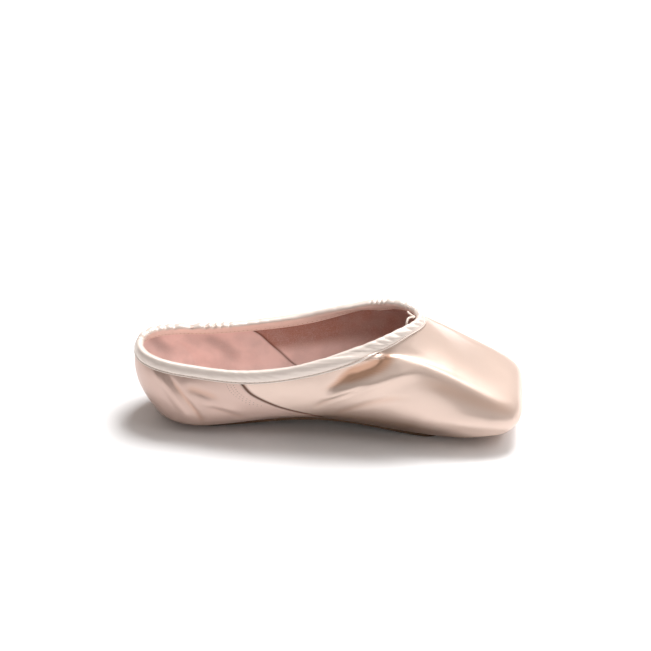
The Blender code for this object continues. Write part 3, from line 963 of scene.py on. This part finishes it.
def insole_material():
    nodes = Nodes("insole_nap", colours().insole, 0.95)
    at_object = nodes.place()
    lie = nodes.within(nodes.noise(at_object, 48.0, 3.0), 0.42, 0.68, 0.0, 0.5)
    fibre = nodes.noise(at_object, 1500.0, 3.0, 0.7)
    brushed = nodes.mix(lie, colours().insole, darker(colours().insole, 0.68))
    colour = nodes.mix(nodes.within(fibre, 0.45, 0.75, 0.0, 0.3), brushed, INSOLE_FIBRE)
    nodes.brushed()
    return nodes.finish(colour, None, nodes.bump(fibre, 0.00014))


def sole_material():
    """Split leather: a fibrous nap, darker towards the floor, and a cut edge."""
    nodes = Nodes("sole_split", colours().sole, 0.8)
    at_object = nodes.place()
    fibre = nodes.noise(at_object, 900.0, 4.0, 0.7)
    mottle = nodes.noise(at_object, 90.0, 4.0)
    # Darker towards the floor
    floor_darkened = nodes.mix(nodes.value("floor_darkening"), colours().sole, darker(colours().sole, 0.55))
    mottled = nodes.mix(nodes.within(mottle, 0.35, 0.7, 0.0, 0.5), floor_darkened, darker(colours().sole, 0.7))
    colour = nodes.mix(nodes.within(fibre, 0.5, 0.8, 0.0, 0.35), mottled, SOLE_FIBRE)
    nodes.set("Specular IOR Level", 0.3)
    normal = nodes.bump(fibre, 0.00012, nodes.bump(mottle, 0.0002))
    return nodes.finish(colour, nodes.within(mottle, 0.3, 0.7, 0.65, 0.85), normal)


def depth_below_rim(points, normals):
    """Rows of points end at the rim: the way over the rim, and how far below it each point is."""
    along_rim = np.roll(points[-1], -1, axis=0) - np.roll(points[-1], 1, axis=0)
    over = unit(np.cross(normals[-1], along_rim))
    over = over * np.sign(over[:, 2:])
    return over, ((points[-1] - points) * over).sum(axis=2)


def from_seam(ring, ups, seam=SEAM):
    """Metres in front of the side seam along the ring."""
    return (np.abs(ring) - seam_at(ups, seam)[:, None]) * HALF_GIRTH


def satin_outside(ups, ring, ahead):
    """Points of the outer surface, and how deep its folds are."""
    base, normals = surface_at(ring, ups[:, None])
    depths = depth_below_rim(base, normals)[1]
    clear = smooth(depths, *(TAPE_OUTSIDE - np.array(SEAM_COVERED)))
    rises = smooth(ups, *SEAM_RISES)[:, None]
    step = SEAM_STEP * rises * clear * (1 - smooth(ahead, *SEAM_SLOPE))
    cloth = crease_relief(base)
    pleats = pleat_relief(ring, ups[:, None])
    return base + normals * (cloth + step + pleats)[..., None], cloth + PLEAT_SHADE * pleats


def lining_inside(ups, ring, ahead):
    """Points of the inner surface, and how deep its own folds are."""
    base, normals = surface_at(ring, ups[:, None])
    overlap = LINING_STEP * (1 - smooth(ahead, *LINING_SLOPE)) * smooth(ups, *LINING_RISES)[:, None]
    folds = crease_relief(base, LINING_CREASES)
    lift = crease_relief(base) - folds - wall_at(base, ups[:, None]) - overlap
    return base + normals * lift[..., None], folds


def seam_line(ahead, line):
    """The shade of a seam's dark line by the metres in front of the seam."""
    middle, width, dark = line
    return np.exp(-(((ahead - middle) / width) ** 2)) * dark


def painted_low_shade(ring, ups):
    """How much shade is painted on the satin along the sole."""
    along = column(LOW_SHADES, LOW_COLUMNS, "along")
    dark, full, none = (
        np.interp(np.abs(ring), along, column(LOW_SHADES, LOW_COLUMNS, name)) for name in LOW_COLUMNS[1:]
    )
    return dark * (1 - smooth(ups, full, none))


def painted_lining_light(ring, ups):
    """How much light is painted on the lining behind the vamp."""
    return LINING_LIGHT_SHARE * (1 - smooth(ups, *LINING_LIGHT_UP)) * (1 - smooth(np.abs(ring), *LINING_LIGHT_ALONG))


def make_satin_upper():
    """The whole wall: satin outside, over the rim, lining inside, and turned in under the foot."""
    ups = np.linspace(0, 1, OUTSIDE_ROWS)
    ring = upper_ring(ups)
    ahead = from_seam(ring, ups)
    outside, outer_folds = satin_outside(ups, ring, ahead)

    inner_ups = np.linspace(1, 0, INSIDE_ROWS)
    inner_ring = upper_ring(inner_ups, LINING_SEAM)
    inner_ahead = from_seam(inner_ring, inner_ups, LINING_SEAM)
    inside, inner_folds = lining_inside(inner_ups, inner_ring, inner_ahead)

    rings = np.concatenate([outside, inside])
    faces = band_faces(len(rings), rings.shape[1])
    piece = new_piece("satin_upper", rings, faces, [satin_material(), lining_material()])
    lining = faces[:, 0] >= outside.shape[0] * outside.shape[1]
    piece.data.polygons.foreach_set("material_index", lining.astype(np.int32))
    all_ring = np.concatenate([ring, inner_ring])
    all_ups = np.concatenate([ups, inner_ups])[:, None] * np.ones(all_ring.shape[1])
    set_uv(piece, np.stack([all_ring * HALF_GIRTH, all_ups * SIDE_RISE], axis=-1), HALF_GIRTH)
    all_ahead = np.concatenate([ahead, inner_ahead])
    set_values(piece, "front", smooth(all_ahead, -PANEL_CHANGE, PANEL_CHANGE))
    outer_line = seam_line(ahead, SEAM_LINE) * smooth(ups, *SEAM_LINE_BEGINS)[:, None]
    set_values(piece, "seam", np.concatenate([outer_line, seam_line(inner_ahead, LINING_LINE)]))
    # On the satin the value low is painted shade, and on the lining it is painted light
    low = [painted_low_shade(ring, ups[:, None]), painted_lining_light(inner_ring, inner_ups[:, None])]
    set_values(piece, "low", np.concatenate(low))
    # Painted shade in the troughs of the satin's creases and pleats and of the lining's creases
    folds = [smooth(-relief, 0.0, FOLD_DEPTH) for relief in (outer_folds, inner_folds)]
    set_values(piece, "fold_shade", np.concatenate(folds))
    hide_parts("upper")


def rim_columns(count):
    """Places around the rim, evenly far apart, and the signed distance of each from the heel's centre."""
    ring = np.linspace(-1, 1, 4 * LINE_POINTS)
    line = last_at(ring, 1.0)
    steps = np.linalg.norm(np.diff(line, axis=0), axis=1)
    along = np.concatenate([[0], np.cumsum(steps)])
    along = along - along[-1] / 2
    at = np.linspace(along[0], along[-1], count + 1)[:-1]
    return np.interp(at, along, ring), at


def rim_rows(ring):
    """Rows of points, normals and depths close under the rim, and the way over it."""
    ups = np.linspace(LEVEL_SHARES[-3], 1, RIM_ROWS)
    points, normals = surface_at(ring[None], ups[:, None])
    points = points + normals * crease_relief(points)[..., None]
    over, depths = depth_below_rim(points, normals)
    return points, normals, depths, over


def under_rim(rows, down):
    """The wall's point and normal at a depth below the rim, for every column."""
    points, normals, depths = rows[:3]
    own = np.arange(points.shape[1])
    down = np.broadcast_to(down, points.shape[1])
    row = np.clip((depths > down).sum(axis=0), 1, len(points) - 1)
    deep, shallow = depths[row - 1, own], depths[row, own]
    share = np.clip((deep - down) / (deep - shallow), 0, 1)[:, None]
    point = points[row - 1, own] * (1 - share) + points[row, own] * share
    normal = normals[row - 1, own] * (1 - share) + normals[row, own] * share
    return point, unit(normal)


def gather_at(along, half_rim):
    """How far the gathers push out and lift the tape at each distance from the heel's centre."""
    out = np.zeros(len(along))
    lift = np.zeros(len(along))
    share = np.abs(along) / half_rim
    for side, start, end, period, outward, upward in GATHERS:
        begun = smooth(share, start - GATHER_FADE, start + GATHER_FADE)
        zone = begun * (1 - smooth(share, end - GATHER_FADE, end + GATHER_FADE)) * (np.sign(along) == side)
        count = along / period
        drift = SLOW_DRIFT[0] * np.sin(count * SLOW_DRIFT[1])
        drift = drift + QUICK_DRIFT[0] * np.sin(count * QUICK_DRIFT[1] + side)
        puff = np.abs(np.sin(np.pi * along / period + drift)) - WAVE_LEVEL
        uneven = 1 - SIZE_DRIFT[0] + SIZE_DRIFT[0] * np.sin(count * SIZE_DRIFT[1] + 2)
        out += outward * zone * uneven * puff
        lift += upward * zone * uneven * puff
    return out, lift


def leg_lengths(rows, leg):
    """How long a leg of the tape is at every column: the outside one is shorter at the throat."""
    if leg == "inside":
        return TAPE_INSIDE
    at_throat = smooth((rows[0][-1, :, 0] - SHIFT[0]) / LENGTH, *TAPE_NARROWS)
    return TAPE_OUTSIDE + (TAPE_THROAT - TAPE_OUTSIDE) * at_throat


def tape_place(rows, leg, down, out, over):
    """A point of the tape's cut for every column: a share of the leg down, then metres out and over."""
    point, normal = under_rim(rows, down * leg_lengths(rows, leg))
    if leg == "outside":
        shift = out
    elif leg == "inside":
        shift = -QUARTER_WALL - out
    else:
        shift = out - QUARTER_WALL / 2
    return point + normal * np.reshape(shift, (-1, 1)) + rows[3] * np.reshape(over, (-1, 1))


def make_collar_tape():
    """A satin tape folded over the rim, full over its casing and gathered at the throat."""
    ring, along = rim_columns(TAPE_COLUMNS)
    rows = rim_rows(ring)
    half_rim = -along[0]
    thick = sizes().tape_thickness
    cuts = []
    grooves = []
    for leg, down, out, over in TAPE_CUT:
        push, lift = gather_at(along + GATHER_SLANT * down * TAPE_OUTSIDE, half_rim)
        fullness = np.clip(out - GATHER_OFF, 0, 1) * smooth(1 - down, *GATHER_HEM)
        outward = out * thick if leg == "top" else TAPE_GAP + out * thick
        lifts = 1 - smooth(down, 0.0, GATHER_LIFT[1]) if over or down < GATHER_LIFT[0] else 0
        outward = outward + push * fullness * GATHER_PUSH
        cuts.append(tape_place(rows, leg, down, outward, over * thick + lift * lifts))
        # Painted shade in the stitches' groove, on the parts of the cut that stand off
        in_groove = np.exp(-(((down - TAPE_GROOVE) / GROOVE_WIDTH) ** 2)) if out > GROOVE_OFF else 0
        grooves.append(np.full(len(ring), in_groove * GROOVE_SHADES[leg]))
    faces = band_faces(len(cuts), len(ring))
    piece = new_piece("collar_tape", np.array(cuts), faces, [tape_material()])
    widths = np.linalg.norm(np.diff(np.array(cuts).mean(axis=1), axis=0), axis=1)
    across = np.concatenate([[0], np.cumsum(widths)])
    places = np.stack(np.broadcast_arrays(along[None], across[:, None]), axis=-1)
    set_uv(piece, places, half_rim)
    set_values(piece, "groove", np.array(grooves))
    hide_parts("collar_binding")


def thread_stitch():
    """One short stitch along X, its ends dipping into the cloth: points and faces."""
    bpy.ops.object.select_all(action="DESELECT")
    bpy.ops.mesh.primitive_uv_sphere_add(segments=6, ring_count=6, radius=0.5, rotation=(0, np.pi / 2, 0))
    stitch = bpy.context.object
    bpy.ops.object.transform_apply(location=False, rotation=True, scale=False)
    points = np.array([vertex.co for vertex in stitch.data.vertices])
    faces = [list(face.vertices) for face in stitch.data.polygons]
    bpy.data.objects.remove(stitch)
    points[:, 2] -= STITCH_DIP * (2 * points[:, 0]) ** 2
    return points, faces


def sew(name, places, ways, normals, length, slot, shade=1.0):
    """Copies of one stitch, each laid along its way on the cloth, joined in one piece."""
    pattern, pattern_faces = thread_stitch()
    thick = sizes().thread_diameter
    points = []
    faces = []
    ways = unit(ways)
    sides = unit(np.cross(normals, ways))
    for place, way, side, normal in zip(places, ways, sides, unit(normals)):
        shaped = pattern * np.array([length, thick, thick])
        first = len(points) * len(pattern)
        points.append(place + shaped[:, :1] * way + shaped[:, 1:2] * side + shaped[:, 2:] * normal)
        faces.extend([[first + index for index in face] for face in pattern_faces])
    return new_piece(name, np.concatenate(points), faces, [thread_material(shade)])


def make_tape_stitches():
    """A running stitch around the tape, outside and inside."""
    heel_to_throat = -rim_columns(2)[1][0]
    rows = rim_rows(rim_columns(int(2 * heel_to_throat / sizes().stitch_pitch))[0])
    raised = TAPE_GAP + STITCH_STANDS * sizes().tape_thickness
    for leg, outwards in (("outside", 1), ("inside", -1)):
        down = STITCH_LINES[leg]
        places = tape_place(rows, leg, down, raised, 0.0)
        ways = np.roll(places, -1, axis=0) - np.roll(places, 1, axis=0)
        normals = under_rim(rows, down * leg_lengths(rows, leg))[1] * outwards
        sew("tape_stitches_" + leg, places, ways, normals, sizes().stitch_length, "binding")


def make_seam_stitches():
    """Three rows of holding stitches on the rear panel beside each seam's top."""
    places, ways, normals = [], [], []
    for behind, low, high in SEAM_ROWS:
        ups = np.linspace(low, high, int((high - low) * SIDE_RISE / SEAM_STITCH_PITCH))
        for side in (NEAR, FAR):
            ring = side * (seam_at(ups) - behind / HALF_GIRTH)
            points, outward = surface_at(ring, ups)
            points = points + outward * (crease_relief(points) + SEAM_STEP)[:, None]
            way = np.gradient(points, axis=0)
            places.append(points)
            ways.append(way + np.cross(outward, way) * SEAM_STITCH_SLANT)
            normals.append(outward)
    rows = [np.concatenate(parts) for parts in (places, ways, normals)]
    sew("seam_stitches", *rows, SEAM_STITCH_LENGTH, "satin", SEAM_STITCH_SHADE)


def plate_outline(ends):
    """Stations along a plate and the share of its width at each, without the very tips."""
    x, closing = round_ended(ends, PLATE_STATIONS)[:2]
    return x[1:-1], closing[1:-1]


def make_plate(name, x, half_widths, undersides, thickness, bevel, material, slot):
    """A plate from a flat grid: laid to the outline, thickened upwards and with its edges rounded."""
    bpy.ops.object.select_all(action="DESELECT")
    cells = {"x_subdivisions": len(x) - 1, "y_subdivisions": PLATE_COLUMNS - 1}
    bpy.ops.mesh.primitive_grid_add(size=1, **cells)
    plate = bpy.context.object
    plate.name = plate.data.name = name
    flat = np.array([vertex.co for vertex in plate.data.vertices])
    station = np.rint((flat[:, 0] + 0.5) * (len(x) - 1)).astype(int)
    share = 2 * flat[:, 1]
    rounded = np.sin(share * np.pi / 2)
    laid = np.stack([x[station] + SHIFT[0], rounded * half_widths[station], undersides[station]], axis=1)
    plate.data.vertices.foreach_set("co", laid.astype(np.float32).ravel())
    bpy.ops.object.mode_set(mode="EDIT")
    bpy.ops.mesh.select_all(action="SELECT")
    bpy.ops.mesh.extrude_region_move(TRANSFORM_OT_translate={"value": (0, 0, thickness)})
    bpy.ops.mesh.select_all(action="SELECT")
    bpy.ops.mesh.normals_make_consistent(inside=False)
    bpy.ops.object.mode_set(mode="OBJECT")
    edge = plate.modifiers.new("edge", "BEVEL")
    edge.width = bevel
    edge.segments = 3
    edge.limit_method = "ANGLE"
    edge.angle_limit = 1.0
    bpy.ops.object.modifier_apply(modifier=edge.name)
    bpy.ops.object.shade_smooth_by_angle(angle=0.7)
    plate.data.materials.clear()
    plate.data.materials.append(material)
    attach(plate, BODY)
    return plate


def make_leather_sole():
    """The outsole, thin at the waist, darker towards the floor where the heel and the ball meet it."""
    x, closing = plate_outline(SOLE_ENDS)
    half_widths = along_foot(SOLE, SOLE_COLUMNS, "width", x) * closing * SOLE_BALL_WIDTH / 2
    cut = (x, half_widths, bottom_at(x) - STANDING, SOLE_THICKNESS, SOLE_ROUNDING)
    sole = make_plate("leather_sole", *cut, sole_material(), "sole_leather")
    points = np.array([vertex.co for vertex in sole.data.vertices])
    set_values(sole, "floor_darkening", 1 - smooth(points[:, 2], *FLOOR_DARKENING))
    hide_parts("outsole")


def make_sock_insole():
    """The insole, lying on the turned-in margin and clear of the walls."""
    x, closing = plate_outline(INSOLE_ENDS)
    half_widths = (half_width_at("under", x) - INSOLE_CLEARANCE) * closing
    wall = QUARTER_WALL + (BOX_WALL - QUARTER_WALL) * smooth(x / LENGTH, *BOX_GROWS)
    undersides = height_at("under", x) + wall + SOLE_GAP
    cut = (x, half_widths, undersides, INSOLE_THICKNESS, INSOLE_ROUNDING)
    insole = make_plate("sock_insole", *cut, insole_material(), "insole_leather")
    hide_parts("insole")


def make_bow_cord():
    """The drawstring's short end and small loop at the throat, and its tail down inside the vamp."""
    throat = last_at(1.0, 1.0) + SHIFT
    slit = throat - np.array([QUARTER_WALL + SLIT_DEPTH + CORD_DIAMETER, 0, 0])
    route = slit + np.array(CORD_PATH) * np.array([-1, 1, 1]) * CORD_DIAMETER
    knots = np.concatenate([[0], np.cumsum(np.linalg.norm(np.diff(route, axis=0), axis=1))])
    at = np.linspace(0, knots[-1], CORD_POINTS)
    path = through(knots, route, at)
    ahead = unit(np.gradient(path, axis=0))
    side = unit(np.cross(ahead, CORD_ACROSS))
    above = np.cross(side, ahead)
    around = np.linspace(0, 2 * np.pi, CORD_SIDES + 1)[:-1]
    # The ends are rounded
    to_end = np.minimum(at, at[-1] - at) / (CORD_DIAMETER / 2)
    radius = CORD_DIAMETER / 2 * np.sqrt(np.clip(1 - (1 - np.minimum(to_end, 1)) ** 2, CORD_TIP, 1))
    rings = (
        path[:, None]
        + radius[:, None, None] * np.cos(around)[None, :, None] * side[:, None]
        + radius[:, None, None] * np.sin(around)[None, :, None] * above[:, None]
    )
    last_ring = (CORD_POINTS - 1) * CORD_SIDES
    tube = band_faces(CORD_POINTS, CORD_SIDES)[:last_ring].tolist()
    caps = [list(range(CORD_SIDES)), list(range(last_ring, last_ring + CORD_SIDES))]
    piece = new_piece("bow_cord", rings, tube + caps, [cord_material()])
    lay_tube_uv(piece, at, CORD_SIDES)
    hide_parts("drawstring")


def lay_tube_uv(piece, at, around):
    """The pattern runs along the tube, and around it in metres."""
    mesh = piece.data
    layer = mesh.uv_layers.new(name="cloth")
    turn = np.pi * CORD_DIAMETER / around
    for face in mesh.polygons:
        columns = [index % around for index in face.vertices]
        wraps = max(columns) - min(columns) > around / 2
        for loop, index, place in zip(face.loop_indices, face.vertices, columns):
            wrapped = place + around if wraps and place < around / 2 else place
            layer.data[loop].uv = (at[index // around], wrapped * turn)


def add_camera():
    rise = np.radians(CAMERA_RISE)
    turn = np.radians(CAMERA_TURN)
    back = Vector((np.sin(turn) * np.cos(rise), -np.cos(turn) * np.cos(rise), np.sin(rise)))
    data = bpy.data.cameras.new("camera")
    data.sensor_width = SENSOR
    data.lens = SENSOR * CAMERA_DISTANCE / METRES_ACROSS
    centre = PICTURE_PIXELS / 2
    data.shift_x = (centre - AIM_PIXEL[0]) / PICTURE_PIXELS
    data.shift_y = (AIM_PIXEL[1] - centre) / PICTURE_PIXELS
    camera = bpy.data.objects.new("camera", data)
    camera.location = Vector(CAMERA_AIM) + back * CAMERA_DISTANCE
    camera.rotation_euler = back.to_track_quat("Z", "Y").to_euler()
    bpy.context.collection.objects.link(camera)
    bpy.context.scene.camera = camera


def add_lights():
    for name, place, width, height, power in LIGHTS:
        data = bpy.data.lights.new(name, "AREA")
        data.shape = "RECTANGLE"
        data.size = width
        data.size_y = height
        data.energy = power
        light = bpy.data.objects.new(name, data)
        light.location = place
        light.rotation_euler = Vector(place).to_track_quat("Z", "Y").to_euler()
        bpy.context.collection.objects.link(light)
    bpy.context.scene.world = studio_world()
    bpy.context.scene.view_settings.view_transform = "Standard"


def studio_world():
    """A dim room, brighter above and behind the shoe."""
    world = bpy.data.worlds.new("studio")
    world.use_nodes = True
    tree = world.node_tree
    way = tree.nodes.new("ShaderNodeTexCoord")
    lean = tree.nodes.new("ShaderNodeVectorMath")
    lean.operation = "DOT_PRODUCT"
    lean.inputs[1].default_value = BRIGHT_END
    tree.links.new(way.outputs["Generated"], lean.inputs[0])
    glow = tree.nodes.new("ShaderNodeMapRange")
    for name, value in zip(("From Min", "From Max", "To Min", "To Max"), ROOM_GLOW):
        glow.inputs[name].default_value = value
    tree.links.new(lean.outputs["Value"], glow.inputs["Value"])
    background = tree.nodes["Background"]
    background.inputs["Color"].default_value = ROOM_COLOUR
    tree.links.new(glow.outputs["Result"], background.inputs["Strength"])
    return world


def add_floor():
    bpy.ops.object.select_all(action="DESELECT")
    bpy.ops.mesh.primitive_plane_add(size=FLOOR_SIZE, location=FLOOR_PLACE)
    floor = bpy.context.object
    floor.name = "studio_floor"
    nodes = Nodes("floor_paper", colours().floor, 0.9)
    nodes.set("Specular IOR Level", 0.1)
    grain = nodes.noise(nodes.place(), 900.0, 2.0)
    floor.data.materials.append(nodes.finish(None, None, nodes.bump(grain, 0.00002)))


class SHOE_OT_satin_upper(bpy.types.Operator):
    """Makes the satin upper with its lining, creases, seams and pleats"""

    bl_idname = "shoe.satin_upper"
    bl_label = "Satin Upper"

    def execute(self, context):
        make_satin_upper()
        return {"FINISHED"}


class SHOE_OT_collar_tape(bpy.types.Operator):
    """Makes the folded and gathered tape around the collar"""

    bl_idname = "shoe.collar_tape"
    bl_label = "Collar Tape"

    def execute(self, context):
        make_collar_tape()
        return {"FINISHED"}


class SHOE_OT_stitches(bpy.types.Operator):
    """Sews the tape down and sews the side seams"""

    bl_idname = "shoe.stitches"
    bl_label = "Stitches"

    def execute(self, context):
        make_tape_stitches()
        make_seam_stitches()
        return {"FINISHED"}


class SHOE_OT_leather_sole(bpy.types.Operator):
    """Makes the leather outsole"""

    bl_idname = "shoe.leather_sole"
    bl_label = "Leather Sole"

    def execute(self, context):
        make_leather_sole()
        return {"FINISHED"}


class SHOE_OT_sock_insole(bpy.types.Operator):
    """Makes the insole"""

    bl_idname = "shoe.sock_insole"
    bl_label = "Insole"

    def execute(self, context):
        make_sock_insole()
        return {"FINISHED"}


class SHOE_OT_bow_cord(bpy.types.Operator):
    """Makes the drawstring's loop and ends at the throat"""

    bl_idname = "shoe.bow_cord"
    bl_label = "Drawstring"

    def execute(self, context):
        make_bow_cord()
        return {"FINISHED"}


class SHOE_OT_studio(bpy.types.Operator):
    """Sets up the floor, the lights and the camera"""

    bl_idname = "shoe.studio"
    bl_label = "Studio"

    def execute(self, context):
        add_camera()
        add_lights()
        add_floor()
        return {"FINISHED"}


OPERATORS = (
    SHOE_OT_studio,
    SHOE_OT_bow_cord,
    SHOE_OT_satin_upper,
    SHOE_OT_collar_tape,
    SHOE_OT_stitches,
    SHOE_OT_leather_sole,
    SHOE_OT_sock_insole,
)


class SHOE_PT_panel(bpy.types.Panel):
    """Lists the shoe's pieces, sizes and colours"""

    bl_idname = "SHOE_PT_panel"
    bl_label = "Pointe Shoe"
    bl_space_type = "VIEW_3D"
    bl_region_type = "UI"
    bl_category = "Pointe Shoe"

    def draw(self, context):
        for operator in OPERATORS:
            self.layout.operator(operator.bl_idname)
        for group in (context.scene.shoe_sizes, context.scene.shoe_colours):
            for name in group.__annotations__:
                self.layout.prop(group, name)


CLASSES = (ShoeSizes, ShoeColours, *OPERATORS, SHOE_PT_panel)


def register():
    for item in CLASSES:
        bpy.utils.register_class(item)
    bpy.types.Scene.shoe_sizes = PointerProperty(type=ShoeSizes)
    bpy.types.Scene.shoe_colours = PointerProperty(type=ShoeColours)


def unregister():
    del bpy.types.Scene.shoe_colours
    del bpy.types.Scene.shoe_sizes
    for item in reversed(CLASSES):
        bpy.utils.unregister_class(item)


def main():
    register()
    for operator in OPERATORS:
        group, name = operator.bl_idname.split(".")
        getattr(getattr(bpy.ops, group), name)()


if __name__ == "__main__":
    main()
